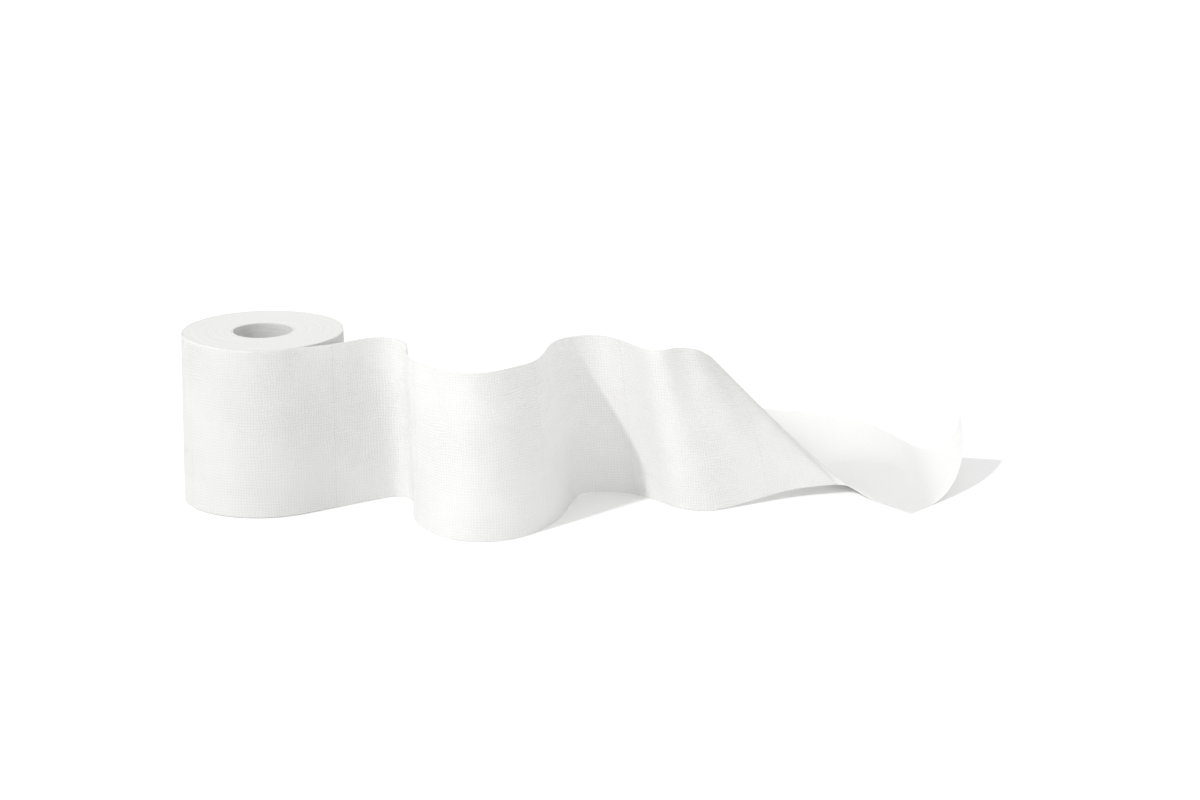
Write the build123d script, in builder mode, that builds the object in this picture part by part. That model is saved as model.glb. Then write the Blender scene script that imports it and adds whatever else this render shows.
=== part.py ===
"""A standing roll of bathroom tissue on its card core, with its outer turn pulled
off: the loose length runs away on its edge in two waves, tips over, fans down and
ends flat on the surface with one corner curled up.

Millimetres. +Z is up, the origin is on the roll's axis at its bottom end, the loose
length runs along +X, and -Y is the front.
"""
from build123d import *
import math
import os

os.makedirs("parts", exist_ok=True)

# Roll
sheet_width = 104.0        # across the paper, and so the height of the standing roll
roll_diameter = 100.0
rim_round = 0.8            # softened rims of the wound end faces

# Card core
core_bore = 36.5
core_wall = 0.9
core_clearance = 0.1       # between the card and the first turn

# Loose length
tail_thickness = 1.2       # the sheet as a closed solid, with room for its ripples
wrap_clearance = 0.15      # between the wound roll and its loose outer turn
wrap_start = 172.0         # degrees round the roll where the outer turn comes free
leave_angle = 298.0        # degrees round the roll where the tail leaves it
first_run = 73.0           # from there to the first bend, straight off the roll

# The standing stretch in plan after the first bend: corners, and what rounds them.
# All plan points from here on are measured from the first bend's corner.
first_bend_radius = 10.0
standing_bends = [
    ((5.2, -53.5), 18.0),      # comes to the front
    ((22.7, -81.5), 30.0),     # bows out
    ((65.7, -86.5), 40.0),
    ((87.7, -55.5), 30.0),
]
standing_end = (100.2, -15.5)  # runs back
standing_overlap = 1.0         # the tilting lines start this far inside it

# Lines across the rest: the foot in plan and its lift off the surface, the head in
# plan and its height as a share of the sheet's width. They tilt and fan, so they vary
# in length.
tilting_lines = [
    ((107.7, 3.5, 0.0), (95.7, -7.5), 1.0),
    ((115.7, 9.0, 0.0), (102.7, 0.5), 0.99),
    ((128.7, 8.5, 0.0), (112.2, 5.0), 0.987),
    ((137.7, 6.0, 0.0), (119.7, 5.0), 0.985),
    ((151.7, -5.5, 0.0), (132.7, -6.5), 0.98),         # comes forward again
    ((165.7, -20.5, 0.0), (147.2, -25.5), 0.976),
    ((178.7, -26.5, 0.0), (157.7, -26.5), 0.977),
    ((187.7, -26.5, 0.3), (163.7, -20.5), 0.97),
    ((199.7, -21.5, 1.0), (169.7, -15.5), 0.96),
    ((211.7, -15.0, 2.0), (174.7, -13.0), 0.945),
    ((225.7, -8.0, 4.0), (179.2, -8.5), 0.925),
    ((242.7, -0.5, 5.4), (183.7, 0.5), 0.882),
    ((256.7, 3.0, 5.9), (187.2, 10.5), 0.84),          # the crest, then down behind it
    ((261.2, 4.0, 5.7), (193.7, 44.5), 0.7),
    ((265.2, 4.0, 5.0), (208.7, 80.5), 0.45),
    ((269.2, 2.5, 4.0), (231.7, 104.5), 0.26),
    ((273.7, -0.5, 2.5), (256.7, 110.0), 0.205),
    ((279.2, -4.5, 1.0), (278.7, 109.0), 0.185),
    ((284.7, -9.5, 0.3), (291.7, 107.0), 0.165),
    ((289.7, -13.5, 0.0), (302.7, 105.5), 0.15),
    ((295.7, -19.5, 0.0), (319.7, 103.5), 0.07),
    ((299.7, -24.5, 0.0), (339.7, 98.5), 0.01),
    ((302.7, -27.5, 0.0), (354.7, 80.5), 0.08),        # the corner curls up
    ((305.7, -30.5, 0.0), (358.7, 60.5), 0.23),
    ((308.7, -33.5, 0.0), (349.7, 41.5), 0.42),
]

roll_radius = roll_diameter / 2
core_radius = core_bore / 2 + core_wall
wound_bore_radius = core_radius + core_clearance
wrap_radius = roll_radius + wrap_clearance + tail_thickness / 2

leaving = math.radians(leave_angle)
leaves_roll = Vector(wrap_radius * math.cos(leaving), wrap_radius * math.sin(leaving))
first_bend = leaves_roll + Vector(-math.sin(leaving), math.cos(leaving)) * first_run
corners = [first_bend] + [first_bend + Vector(*corner) for corner, _ in standing_bends]
radii = [first_bend_radius] + [radius for _, radius in standing_bends]
tail_turns = first_bend + Vector(*standing_end)

with BuildPart() as core:
    with BuildSketch():
        Circle(core_radius)
        Circle(core_bore / 2, mode=Mode.SUBTRACT)
    extrude(amount=sheet_width)
core.part.label = "core"
export_step(core.part, "parts/core.step")

with BuildPart() as roll:
    with BuildSketch():
        Circle(roll_radius)
        Circle(wound_bore_radius, mode=Mode.SUBTRACT)
    extrude(amount=sheet_width)
    outer_face = roll.faces().filter_by(GeomType.CYLINDER).sort_by(SortBy.AREA)[-1]
    fillet(outer_face.edges().filter_by(GeomType.CIRCLE), radius=rim_round)
roll.part.label = "roll"
export_step(roll.part, "parts/roll.step")

# The tilting lines start with an upright one, just inside the standing stretch's end.
last_run = (tail_turns - corners[-1]).normalized()
joint = tail_turns - last_run * standing_overlap
lying = Vector(0, 0, tail_thickness / 2)
feet = [joint]
heads = [joint + Vector(0, 0, sheet_width)]
for foot, head, share in tilting_lines:
    feet.append(first_bend + Vector(*foot) + lying)
    heads.append(first_bend + Vector(*head, sheet_width * share))
middles = [(foot + head) * 0.5 for foot, head in zip(feet, heads)]

with BuildPart() as tail:
    with BuildSketch():
        with BuildLine():
            CenterArc((0, 0), wrap_radius, wrap_start, leave_angle - wrap_start)
            FilletPolyline(leaves_roll, *corners, tail_turns, radius=radii)
        trace(line_width=tail_thickness)
    extrude(amount=sheet_width)
    for i, (foot, head) in enumerate(zip(feet, heads)):
        line = (head - foot).normalized()
        onward = middles[min(i + 1, len(middles) - 1)] - middles[max(i - 1, 0)]
        onward = last_run if i == 0 else onward - line * onward.dot(line)
        with BuildSketch(Plane(origin=middles[i], x_dir=line, z_dir=onward)):
            Rectangle((head - foot).length, tail_thickness)
    loft(ruled=True)
tail.part.label = "tail"
export_step(tail.part, "parts/tail.step")
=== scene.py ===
"""A standing roll of bathroom tissue on its card core, with its outer turn pulled off
into a long loose sheet that runs in two waves, tips over, fans down and lies flat, with
one corner curled up.

The sheet is bent from a flat grid along guide rails, as paper really bends.
Metres, with the guide rails written in millimetres.
"""
import math

import bmesh
import bpy
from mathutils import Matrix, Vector, noise


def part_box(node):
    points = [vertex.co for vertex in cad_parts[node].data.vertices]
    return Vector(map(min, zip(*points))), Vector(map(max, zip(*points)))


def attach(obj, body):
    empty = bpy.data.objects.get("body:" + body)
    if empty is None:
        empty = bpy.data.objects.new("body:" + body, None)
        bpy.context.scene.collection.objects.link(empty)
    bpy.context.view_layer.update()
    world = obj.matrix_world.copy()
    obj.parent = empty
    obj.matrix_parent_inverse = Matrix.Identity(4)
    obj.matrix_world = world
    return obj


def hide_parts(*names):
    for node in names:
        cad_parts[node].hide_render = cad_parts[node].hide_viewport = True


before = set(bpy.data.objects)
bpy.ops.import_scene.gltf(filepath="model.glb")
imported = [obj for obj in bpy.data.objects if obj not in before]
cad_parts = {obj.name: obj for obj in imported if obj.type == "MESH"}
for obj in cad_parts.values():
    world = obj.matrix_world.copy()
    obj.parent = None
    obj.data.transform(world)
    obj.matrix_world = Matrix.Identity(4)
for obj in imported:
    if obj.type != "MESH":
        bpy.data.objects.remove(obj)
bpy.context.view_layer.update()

MM = 0.001
roll_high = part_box("roll")[1]
roll_radius = roll_high[0]
sheet_width = roll_high[2]
core_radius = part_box("core")[1][0]

paper_thickness = 0.3 * MM
weave = 1.5 * MM              # spacing of the sheet's mesh
emboss_pitch = 1.75 * MM
tear_pitch = 98.0 * MM        # from one tear line to the next
first_tear = 26.0 * MM        # beyond where the sheet leaves the roll
slit_pitch = 2.9 * MM         # along a tear line, one slit and the tie after it
light_through = 0.34          # the share of light that each side of the tissue passes on
start_angle = 268 - 360       # the outer turn starts under its own end
leave_angle = 298             # and leaves the roll here, in degrees round it
roll_top = sheet_width + 0.3 * MM   # the turns wander endways as they are wound
settled = 0.7 * MM            # the standing roll is a shade wider at its foot
spiral_step = 0.5 * MM        # how far the wound turns grow outwards in the last one
first_lap, full_lap = 235, 262      # degrees where the last turn comes to lie on its own start


# ---------------------------------------------------------------- shaping helpers

def blend(low, high, x):
    """0 below low, 1 above high, and a soft step between."""
    x = min(max((x - low) / (high - low), 0.0), 1.0)
    return x * x * (3 - 2 * x)


def spline(knots, values, count):
    """A natural cubic through values at knots, sampled evenly at count places."""
    n = len(knots)
    step = [knots[i + 1] - knots[i] for i in range(n - 1)]
    slope = [(values[i + 1] - values[i]) / step[i] for i in range(n - 1)]
    bend, ratio, carry = [0.0] * n, [0.0] * n, [0.0] * n
    for i in range(1, n - 1):
        pivot = 2 * (step[i - 1] + step[i]) - step[i - 1] * ratio[i - 1]
        ratio[i] = step[i] / pivot
        carry[i] = (6 * (slope[i] - slope[i - 1]) - step[i - 1] * carry[i - 1]) / pivot
    for i in range(n - 2, 0, -1):
        bend[i] = carry[i] - ratio[i] * bend[i + 1]
    found, i = [], 0
    for k in range(count):
        x = knots[0] + (knots[-1] - knots[0]) * k / (count - 1)
        while i < n - 2 and x > knots[i + 1]:
            i += 1
        a, b = knots[i + 1] - x, x - knots[i]
        h = step[i]
        found.append(
            (bend[i] * a ** 3 + bend[i + 1] * b ** 3) / (6 * h)
            + (values[i] / h - bend[i] * h / 6) * a
            + (values[i + 1] / h - bend[i + 1] * h / 6) * b
        )
    return found


def new_piece(name, bm, material, slot):
    mesh = bpy.data.meshes.new(name)
    bm.to_mesh(mesh)
    bm.free()
    for face in mesh.polygons:
        face.use_smooth = True
    mesh.set_sharp_from_angle(angle=math.radians(50))
    piece = bpy.data.objects.new(name, mesh)
    bpy.context.scene.collection.objects.link(piece)
    mesh.materials.append(material)
    if slot:
        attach(piece, "root")
    return piece


# ---------------------------------------------------------------- materials

def colour(code):
    """sRGB hex to linear."""
    parts = [int(code[i:i + 2], 16) / 255 for i in (1, 3, 5)]
    linear = [p / 12.92 if p <= 0.04045 else ((p + 0.055) / 1.055) ** 2.4 for p in parts]
    return (*linear, 1.0)


def new_material(name):
    material = bpy.data.materials.new(name)
    material.use_nodes = True
    material.node_tree.nodes.clear()
    return material, material.node_tree


def add(tree, kind, *sockets, **settings):
    """Adds one node: its settings by name, its sockets in order or in a dictionary."""
    node = tree.nodes.new(kind)
    for name, setting in settings.items():
        setattr(node, name, setting)
    filled = {}
    for place, value in enumerate(sockets):
        filled.update(value if isinstance(value, dict) else {place: value})
    for place, value in filled.items():
        if isinstance(value, bpy.types.Node):
            value = next(socket for socket in value.outputs if socket.enabled)
        if isinstance(value, bpy.types.NodeSocket):
            tree.links.new(value, node.inputs[place])
        else:
            node.inputs[place].default_value = value
    return node


MATH, MIX, NOISE = "ShaderNodeMath", "ShaderNodeMix", "ShaderNodeTexNoise"


def embossed_tissue():
    """Two plies of creped white tissue, embossed with a fine square grid.

    It is matt and lets a good part of the light through, so its shaded side glows.
    """
    material, tree = new_material("embossed_tissue")
    flat = add(tree, "ShaderNodeUVMap", uv_map="flat_sheet")
    straight = add(tree, "ShaderNodeSeparateXYZ", flat)
    # the plies wander under the embossing roller, so its lines bend every 13 mm or so
    wander = add(tree, NOISE, {"Vector": flat, "Scale": 75.0, "Detail": 1.0})
    drift = add(tree, "ShaderNodeVectorMath", wander.outputs["Color"],
                (4.0 * MM, 4.0 * MM, 0.0), flat, operation="MULTIPLY_ADD")
    drifted = add(tree, "ShaderNodeSeparateXYZ", drift)
    # pillows between the dents, 1.75 mm apart each way
    pillow = None
    for way in drifted.outputs[:2]:
        turned = add(tree, MATH, way, math.pi / emboss_pitch, operation="MULTIPLY")
        wave = add(tree, MATH, turned, operation="SINE")
        row = add(tree, MATH, add(tree, MATH, wave, operation="ABSOLUTE"), 0.6, operation="POWER")
        pillow = row if pillow is None else add(tree, MATH, pillow, row, operation="MULTIPLY")
    # the embossing is deeper in patches about 40 mm across, and is pulled flat at the free end
    patches = add(tree, NOISE, {"Vector": flat, "Scale": 26.0, "Detail": 2.0})
    patchy = add(tree, "ShaderNodeMapRange",
                 {"Value": patches, "From Min": 0.35, "From Max": 0.65,
                  "To Min": 0.6, "To Max": 1.0})
    kept = add(tree, "ShaderNodeAttribute", attribute_name="embossed").outputs["Fac"]
    depth = add(tree, MATH, patchy, kept, operation="MULTIPLY")
    hollow = add(tree, MATH, 1.0, pillow, operation="SUBTRACT")
    dents = add(tree, MATH, hollow, depth, operation="MULTIPLY")
    # tear lines: short slits with ties between them
    place = add(tree, MATH, straight.outputs[0], tear_start, operation="SUBTRACT")
    nearest = add(tree, MATH, place, tear_pitch / 2, operation="PINGPONG")
    on_line = add(tree, MATH, nearest, 0.35 * MM, operation="LESS_THAN")
    slits = add(tree, MATH, straight.outputs[1], slit_pitch, operation="DIVIDE")
    in_slit = add(tree, MATH, slits, operation="FRACT")
    slit = add(tree, MATH, in_slit, 0.6, operation="LESS_THAN")
    perforated = add(tree, MATH, on_line, slit, operation="MULTIPLY")
    tear = add(tree, MATH, perforated, kept, operation="MULTIPLY")
    # fibre clouds 2.4 mm across, and crepe ridges 0.45 mm apart that run across the sheet
    cloud = add(tree, NOISE, {"Vector": flat, "Scale": 420.0, "Detail": 4.0, "Roughness": 0.6})
    crepe_place = add(tree, "ShaderNodeMapping", {"Vector": flat, "Scale": (2200.0, 260.0, 1.0)})
    crepe = add(tree, NOISE, {"Vector": crepe_place, "Scale": 1.0, "Detail": 2.0})
    height = add(tree, MATH, cloud, 0.05 * MM, operation="MULTIPLY")
    for part, rise in ((crepe, 0.035 * MM), (dents, -0.15 * MM), (tear, -0.05 * MM)):
        height = add(tree, MATH, part, rise, height, operation="MULTIPLY_ADD")
    bump = add(tree, "ShaderNodeBump", {"Strength": 1.0, "Distance": 1.0, "Height": height})
    shade = add(tree, MIX, {0: cloud, 6: colour("#F9F9F8"), 7: colour("#FDFDFC")}, data_type="RGBA")
    # painted shade: the dents and the tear slits are darkened towards #CCCBC9 to stand in for the
    # shade that falls in these hollows, and the patches make this painted shade deeper in places
    for part, share in ((dents, 0.27), (tear, 0.12)):
        painted_shade = add(tree, MATH, part, share, operation="MULTIPLY")
        shade = add(tree, MIX, {0: painted_shade, 6: shade, 7: colour("#CCCBC9")}, data_type="RGBA")
    paper = add(tree, "ShaderNodeBsdfPrincipled",
                {"Base Color": shade, "Roughness": 0.95, "Specular IOR Level": 0.2, "Normal": bump})
    through = add(tree, "ShaderNodeBsdfTranslucent", {"Color": shade, "Normal": bump})
    ply = add(tree, "ShaderNodeMixShader", light_through, paper, through)
    add(tree, "ShaderNodeOutputMaterial", ply)
    return material


def wound_tissue_edges():
    """The cut ends of the wound turns: close fine rings of paper edge, soft and matt."""
    material, tree = new_material("wound_tissue_edges")
    here = add(tree, "ShaderNodeTexCoord").outputs["Object"]
    axes = add(tree, "ShaderNodeSeparateXYZ", here)
    level = add(tree, "ShaderNodeVectorMath", here, (1.0, 1.0, 0.0), operation="MULTIPLY")
    radius = add(tree, "ShaderNodeVectorMath", level, operation="LENGTH").outputs["Value"]
    angle = add(tree, MATH, axes.outputs[1], axes.outputs[0], operation="ARCTAN2")
    # real turns are 0.35 mm apart, which is too fine to see, so they are drawn 0.55 mm apart
    turns = add(tree, MATH, radius, 0.55 * MM, operation="DIVIDE")
    spiral = add(tree, MATH, angle, -1 / (2 * math.pi), turns, operation="MULTIPLY_ADD")
    around = add(tree, MATH, angle, 0.5, operation="MULTIPLY")
    ring_place = add(tree, "ShaderNodeCombineXYZ", spiral, around)
    rings = add(tree, NOISE, {"Vector": ring_place, "Scale": 0.9, "Detail": 3.0, "Roughness": 0.7})
    fibres = add(tree, NOISE, {"Vector": here, "Scale": 900.0, "Detail": 3.0})    # 1.1 mm tufts
    height = add(tree, MATH, rings, 0.12 * MM, operation="MULTIPLY")
    height = add(tree, MATH, fibres, 0.06 * MM, height, operation="MULTIPLY_ADD")
    bump = add(tree, "ShaderNodeBump", {"Strength": 0.7, "Distance": 1.0, "Height": height})
    shade = add(tree, MIX, {0: rings, 6: colour("#DFDFDD"), 7: colour("#E7E7E5")}, data_type="RGBA")
    paper = add(tree, "ShaderNodeBsdfPrincipled",
                {"Base Color": shade, "Roughness": 0.95, "Specular IOR Level": 0.2, "Normal": bump})
    add(tree, "ShaderNodeOutputMaterial", paper)
    return material


def grey_core_board():
    """Spiral-wound grey board of recycled fibre: flecked, with faint winding streaks.

    The flecks are about 0.9 mm across, and the streaks 1.4 mm high and 17 mm long.
    """
    material, tree = new_material("grey_core_board")
    here = add(tree, "ShaderNodeTexCoord").outputs["Object"]
    flecks = add(tree, NOISE, {"Vector": here, "Scale": 1100.0, "Detail": 4.0, "Roughness": 0.65})
    streak_place = add(tree, "ShaderNodeMapping", {"Vector": here, "Scale": (60.0, 60.0, 700.0)})
    streaks = add(tree, NOISE, {"Vector": streak_place, "Scale": 1.0, "Detail": 3.0})
    both = add(tree, MATH, flecks, streaks, operation="ADD")
    mixed = add(tree, MATH, both, 0.5, operation="MULTIPLY")
    spread = add(tree, "ShaderNodeMapRange", {"Value": mixed, "From Min": 0.35, "From Max": 0.65})
    shade = add(tree, MIX, {0: spread, 6: colour("#D6D6D6"), 7: colour("#E6E6E5")},
                data_type="RGBA")
    height = add(tree, MATH, mixed, 0.12 * MM, operation="MULTIPLY")
    bump = add(tree, "ShaderNodeBump", {"Strength": 0.6, "Distance": 1.0, "Height": height})
    board = add(tree, "ShaderNodeBsdfPrincipled",
                {"Base Color": shade, "Roughness": 0.85, "Specular IOR Level": 0.3, "Normal": bump})
    add(tree, "ShaderNodeOutputMaterial", board)
    return material


def matt_white_paint():
    """A matt white painted table."""
    material, tree = new_material("matt_white_paint")
    here = add(tree, "ShaderNodeTexCoord").outputs["Object"]
    faint = add(tree, NOISE, {"Vector": here, "Scale": 3.0})
    shade = add(tree, MIX, {0: faint, 6: colour("#FDFDFD"), 7: colour("#FFFFFF")}, data_type="RGBA")
    paint = add(tree, "ShaderNodeBsdfPrincipled",
                {"Base Color": shade, "Roughness": 1.0, "Specular IOR Level": 0.0})
    add(tree, "ShaderNodeOutputMaterial", paint)
    return material


# ---------------------------------------------------------------- the loose sheet

# Lines across the sheet where it runs loose: its foot and its head, in millimetres.
# The last number is how far across, from its foot, the sheet lies flat before it rises.
lines_across = [
    ((40, -35, 0), (40, -36, 104), 0),
    ((58, -23, 0), (57, -25, 104), 0),
    ((72, -14, 0), (70, -17, 104), 0),
    ((83, -10, 0), (81, -17, 103.5), 0),          # first bend
    ((91, -17, 0), (89, -26, 103.5), 0),
    ((94, -33, 0), (91.5, -42, 104), 0),
    ((95, -50, 0), (93, -58, 104), 0),
    ((99, -64, 0), (98, -70, 104), 0),
    ((107, -77, 0), (106, -81, 104), 0),          # front bow
    ((120, -89, 0), (119, -92, 104), 0),
    ((136, -94, 0), (134, -98, 104), 0),
    ((152, -91, 0), (148, -93, 104), 0),
    ((167, -80, 0), (160, -82, 104), 0),
    ((178, -63, 0), (169, -71, 104), 0),
    ((186, -42, 0), (175, -46, 104), 0),
    ((193, -12, 0), (181, -24, 104), 0),          # valley
    ((200, -2.5, 0), (187, -14, 103.3), 0),
    ((208, -1, 0), (193.5, -8.5, 102.8), 0),
    ((217, -2, 0), (200.5, -5.5, 102.7), 0),
    ((226, -4.5, 0), (208, -5.5, 102.4), 0),
    ((233, -9.5, 0), (214.5, -10, 102.3), 0),
    ((240, -16, 0), (221, -17, 102), 0),          # second wave
    ((247, -23, 0), (228, -27, 101.7), 0),
    ((254, -31, 0), (235.5, -36, 101.5), 0),
    ((261, -35.5, 0), (241.5, -38.5, 101.5), 0),
    ((267, -37, 0), (246, -37, 101.6), 0),
    ((274, -37.5, 0.3), (251, -32, 101.2), 0),
    ((286, -33, 1.3), (257.5, -26, 100), 0),
    ((299, -26, 2.5), (262.8, -23.5, 98.8), 0),
    ((314, -18.5, 4.5), (268, -18.5, 96.3), 0),
    ((332, -11, 6), (272.5, -9.5, 91.8), 0),
    ((351, -6.5, 6.6), (275.5, 1, 87.5), 0),      # crest
    ((355.5, -5.5, 6.4), (280, 24, 78), 0),
    ((359, -5, 6.1), (288, 50, 62), 0),
    ((362, -5, 5.6), (299, 74, 42), 0.05),
    ((364.5, -6.5, 4.8), (314, 90, 28.5), 0.3),   # fans down behind it
    ((367, -9, 3.8), (331, 98, 24), 0.55),
    ((370.5, -12.5, 2.5), (349, 100, 21.5), 0.68),
    ((375, -17.5, 1), (369, 98.5, 19), 0.74),
    ((380, -24, 0.3), (389, 95, 14.5), 0.78),
    ((383, -28, 0.3), (404, 90, 8), 0.75),
    ((386, -31.5, 0.3), (418, 80, 3), 0.5),
    ((389.5, -35.5, 0.3), (434, 65, 0.5), 0),     # flat end
    ((392.5, -39, 0.3), (450, 49.5, 0.3), 0),
    ((396, -43, 0.3), (466.8, 33.8, 0.3), 0),
]
bow_end = 14                  # the line where the sheet starts to skew
crest = 31                    # the line where the embossing begins to be pulled flat


def rise_beyond(crease, v):
    """The share of the head's height at v across: none up to the crease, with a soft bend."""
    soft = 0.14 * crease
    past = v - crease
    if soft and abs(past) < soft:
        past = (past + soft) ** 2 / (4 * soft)
    return max(past, 0.0) / (1 - crease)


def curl_corner(point):
    """Rolls the free corner up off the floor: the sheet beyond a line turns upward.

    It bends tightly at the line and more loosely towards the corner.
    """
    ahead = math.radians(88.6)
    line = Vector((407.8 * MM, -43.3 * MM))
    along = Vector((math.cos(ahead), math.sin(ahead)))
    outward = Vector((along.y, -along.x))
    offset = Vector((point.x, point.y)) - line
    beyond = offset.dot(outward)
    if beyond <= 0:
        return point
    tight, loose, span = 1 / (22.2 * MM), 1 / (90 * MM), 70 * MM
    steps = 16
    level = rise = 0.0
    for k in range(steps):
        h = beyond * (k + 0.5) / steps
        turned = tight * h + (loose - tight) * h * h / (2 * span)
        level += math.cos(turned) * beyond / steps
        rise += math.sin(turned) * beyond / steps
    flat = line + along * offset.dot(along) + outward * level
    return Vector((flat.x, flat.y, point.z + rise))


# The outer turn is a spiral of just over one lap. Its end stands off the roll in front,
# where its head is a raised lip.
turn_start, turn_growth = -0.15 * MM, 0.55 * MM
foot_slack, head_slack, lip = 0.6 * MM, 0.2 * MM, 0.9 * MM
feet, heads, creases = [], [], []
for degrees in list(range(start_angle, leave_angle, 10)) + [leave_angle]:
    share = (degrees - start_angle) / (leave_angle - start_angle)
    turn = math.radians(degrees)
    outward = Vector((math.cos(turn), math.sin(turn), 0))
    radius = roll_radius + turn_start + turn_growth * share
    loose = blend(178, 205, degrees) * (1 - blend(225, full_lap, degrees))
    feet.append(outward * (radius + settled + foot_slack * loose))
    heads.append(outward * (radius - settled + head_slack * loose))
    heads[-1].z = roll_top + lip * loose
    creases.append(0.0)
leaves_at = len(feet) - 1
for foot, head, crease in lines_across:
    feet.append(Vector(foot) * MM)
    heads.append(Vector(head) * MM)
    creases.append(float(crease))
bow_line = leaves_at + 1 + bow_end
crest_line = leaves_at + 1 + crest

foot_run, head_run, knots = [0.0], [0.0], [0.0]
for i in range(1, len(feet)):
    foot_run.append(foot_run[-1] + (feet[i] - feet[i - 1]).length)
    head_run.append(head_run[-1] + (heads[i] - heads[i - 1]).length)
    knots.append((foot_run[-1] + head_run[-1]) / 2)
sheet_length = knots[-1]
tear_start = knots[leaves_at] + first_tear

# How far the head runs ahead of the foot, in the flat sheet, from the bow's end to the crest.
ahead = [head - foot for foot, head in zip(foot_run, head_run)]
skew = [ahead[min(max(i, bow_line), crest_line)] - ahead[bow_line] for i in range(len(feet))]

columns = round(sheet_length / weave)
rows = round(sheet_width / weave)
rails = []
for ends in (feet, heads):
    ways = [spline(knots, [end[k] for end in ends], columns + 1) for k in range(3)]
    rails.append([Vector(point) for point in zip(*ways)])
crease_run = spline(knots, creases, columns + 1)
skew_run = spline(knots, skew, columns + 1)

tissue = embossed_tissue()
edges = wound_tissue_edges()
board = grey_core_board()

bm = bmesh.new()
bmesh.ops.create_grid(bm, x_segments=columns, y_segments=rows, size=0.5)
flat_map = bm.loops.layers.uv.new("flat_sheet")
embossed = bm.verts.layers.float.new("embossed")
flat_place = {}
crest_run, leave_run = knots[crest_line], knots[leaves_at]
most_crease = 0.85
left_embossed = 0.15          # of the embossing's depth, past the crest
for vert in bm.verts:
    column = round((vert.co.x + 0.5) * columns)
    v = vert.co.y + 0.5
    run = sheet_length * column / columns
    foot, head = rails[0][column], rails[1][column]
    place = foot.lerp(head, v)
    crease = min(max(crease_run[column], 0.0), most_crease)
    place.z = foot.z * (1 - v) + head.z * rise_beyond(crease, v)
    vert.co = curl_corner(place)
    flat_place[vert] = Vector((run + (v - 0.5) * skew_run[column], v * sheet_width))
    past_crest = blend(crest_run, crest_run + 30 * MM, run)
    vert[embossed] = 1 - (1 - left_embossed) * past_crest

# The loose sheet isn't quite even: broad soft waves and small ones, less where it lies flat.
broad_wave, small_wave = 0.16 * MM, 0.07 * MM
off_floor = paper_thickness + 0.05 * MM
bm.normal_update()
for vert in bm.verts:
    u, v = flat_place[vert]
    broad = noise.noise(Vector((u * 38, v * 22, 0.3))) * broad_wave
    small = noise.noise(Vector((u * 110, v * 70, 4.1))) * small_wave
    loose = blend(leave_run, leave_run + 40 * MM, u)
    upright = 1 - 0.7 * blend(crest_run, crest_run + 30 * MM, u)
    shift = vert.normal * (broad + small) * loose * upright
    shift.z *= 0.3
    vert.co += shift
    vert.co.z = max(vert.co.z, off_floor)
for face in bm.faces:
    for loop in face.loops:
        loop[flat_map].uv = flat_place[loop.vert]
bmesh.ops.solidify(bm, geom=bm.faces[:], thickness=paper_thickness)
sheet = new_piece("loose_sheet", bm, tissue, "tissue")
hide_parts("tail")


# ---------------------------------------------------------------- the wound turns

def spun_wall(inner, outer, bottom, top, inner_rim, outer_rim, ring_cuts, wall_cuts, steps):
    """A standing tube with softened rims, cut fine enough across its ends to take relief."""
    bm = bmesh.new()
    outline = ((inner, bottom), (inner, top), (outer, top), (outer, bottom))
    corners = [bm.verts.new((radius, 0, z)) for radius, z in outline]
    for corner, following in zip(corners, corners[1:] + corners[:1]):
        bm.edges.new((corner, following))
    for pair, rim in ((corners[:2], inner_rim), (corners[2:], outer_rim)):
        bmesh.ops.bevel(bm, geom=pair, affect="VERTICES", offset=rim, offset_type="OFFSET",
                        segments=4, profile=0.5, material=-1)
    level = [edge for edge in bm.edges if abs(edge.verts[0].co.z - edge.verts[1].co.z) < 1e-7]
    upright = [edge for edge in bm.edges if abs(edge.verts[0].co.x - edge.verts[1].co.x) < 1e-7]
    if ring_cuts:
        bmesh.ops.subdivide_edges(bm, edges=level, cuts=ring_cuts)
    bmesh.ops.subdivide_edges(bm, edges=upright, cuts=wall_cuts)
    bmesh.ops.spin(bm, geom=bm.verts[:] + bm.edges[:], cent=(0, 0, 0), axis=(0, 0, 1),
                   angle=2 * math.pi, steps=steps, use_merge=True)
    bmesh.ops.recalc_face_normals(bm, faces=bm.faces)
    return bm


turn_pitch = 0.35 * MM        # from one wound turn to the next


def ring_relief(radius, angle):
    """How far the cut edges of the turns stand up or down, along their spiral."""
    turn = radius / turn_pitch - angle / (2 * math.pi)
    fine = noise.noise(Vector((turn * 0.45, angle * 0.5, 1.7)))
    broad = noise.noise(Vector((turn * 0.12, math.cos(angle), math.sin(angle))))
    return (0.1 * fine + 0.25 * broad) * MM


inner, outer = core_radius + 0.1 * MM, roll_radius - 0.35 * MM
bottom, top = 0.4 * MM, roll_top - 0.1 * MM
cut_rim, rim = 0.15 * MM, 0.5 * MM
bm = spun_wall(inner, outer, bottom, top, cut_rim, rim, ring_cuts=63, wall_cuts=12, steps=180)
for vert in bm.verts:
    # the turns fill the spiral of the outer turn, up to where its start lies under its end
    radius, angle = math.hypot(vert.co.x, vert.co.y), math.atan2(vert.co.y, vert.co.x)
    degrees = (math.degrees(angle) - start_angle) % 360 + start_angle
    fill = spiral_step * (degrees - start_angle) / 360 * (1 - blend(first_lap, full_lap, degrees))
    lean = settled * (1 - 2 * vert.co.z / sheet_width)
    swell = 1 + (fill + lean) / outer * blend(inner, outer, radius)
    vert.co.x *= swell
    vert.co.y *= swell
    if radius > inner + 0.4 * MM and (vert.co.z > top - 2 * rim or vert.co.z < bottom + 2 * rim):
        near_rim = blend(outer - 2 * MM, outer - 0.5 * MM, radius)
        lift = ring_relief(radius, angle) * (1 - near_rim)
        vert.co.z += lift if vert.co.z > sheet_width / 2 else min(lift, 0.3 * MM)
turns = new_piece("wound_turns", bm, edges, "tissue")
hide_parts("roll")


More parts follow.
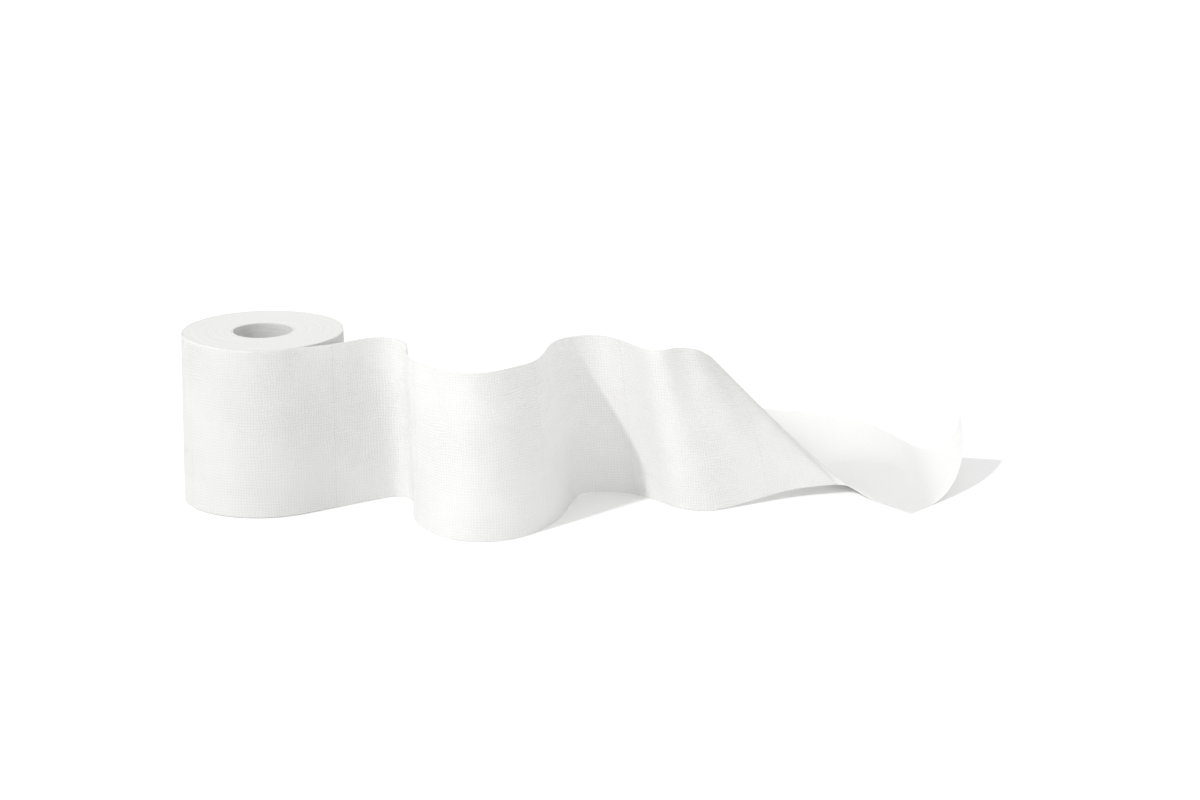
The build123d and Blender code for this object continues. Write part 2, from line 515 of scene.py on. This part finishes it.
# ---------------------------------------------------------------- the card core

board_thickness = 0.9 * MM
strip_rise = 68 * MM          # how far one turn of the wound strip climbs
seam_step = 0.16 * MM         # where one edge of the strip laps the other
unevenness = 0.12 * MM
bm = spun_wall(core_radius - board_thickness, core_radius, 0.5 * MM, roll_top - 0.2 * MM,
               cut_rim, cut_rim, ring_cuts=0, wall_cuts=80, steps=144)
for vert in bm.verts:
    radius, angle = math.hypot(vert.co.x, vert.co.y), math.atan2(vert.co.y, vert.co.x)
    if radius < core_radius - 0.5 * MM:
        along = (vert.co.z / strip_rise - angle / (2 * math.pi)) % 1.0
        seam = seam_step * (blend(0.0, 0.03, along) - blend(0.03, 0.35, along))
        scale = (radius + seam + unevenness * noise.noise(vert.co * 60)) / radius
        vert.co.x *= scale
        vert.co.y *= scale
core = new_piece("card_core", bm, board, "card")
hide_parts("core")


# ---------------------------------------------------------------- floor, light, camera

bm = bmesh.new()
bmesh.ops.create_grid(bm, x_segments=8, y_segments=8, size=9.0)
floor = new_piece("floor", bm, matt_white_paint(), None)

world = bpy.data.worlds.new("studio")
bpy.context.scene.world = world
world.use_nodes = True
world.node_tree.nodes["Background"].inputs["Color"].default_value = (1.0, 1.0, 1.0, 1.0)
world.node_tree.nodes["Background"].inputs["Strength"].default_value = 0.83

key = bpy.data.lights.new("key_light", "SUN")
key.energy = 1.35
key.angle = math.radians(2.5)
key_light = bpy.data.objects.new("key_light", key)
bearing, height = math.radians(42), math.radians(43)
level = math.cos(height)
shine = Vector((level * math.cos(bearing), level * math.sin(bearing), -math.sin(height)))
key_light.rotation_euler = shine.to_track_quat("-Z", "Y").to_euler()
key_light.location = (-1.0, -0.8, 1.2)
bpy.context.scene.collection.objects.link(key_light)

lens = bpy.data.cameras.new("camera")
lens.lens = 72
lens.sensor_width = 36
lens.shift_y = -0.125
lens.clip_start = 0.01
camera = bpy.data.objects.new("camera", lens)
camera.location = (0.20737, -1.43056, 0.47360)
camera.rotation_euler = (math.radians(77.4346), 0, 0)
bpy.context.scene.collection.objects.link(camera)
bpy.context.scene.camera = camera
bpy.context.scene.view_settings.view_transform = "Standard"
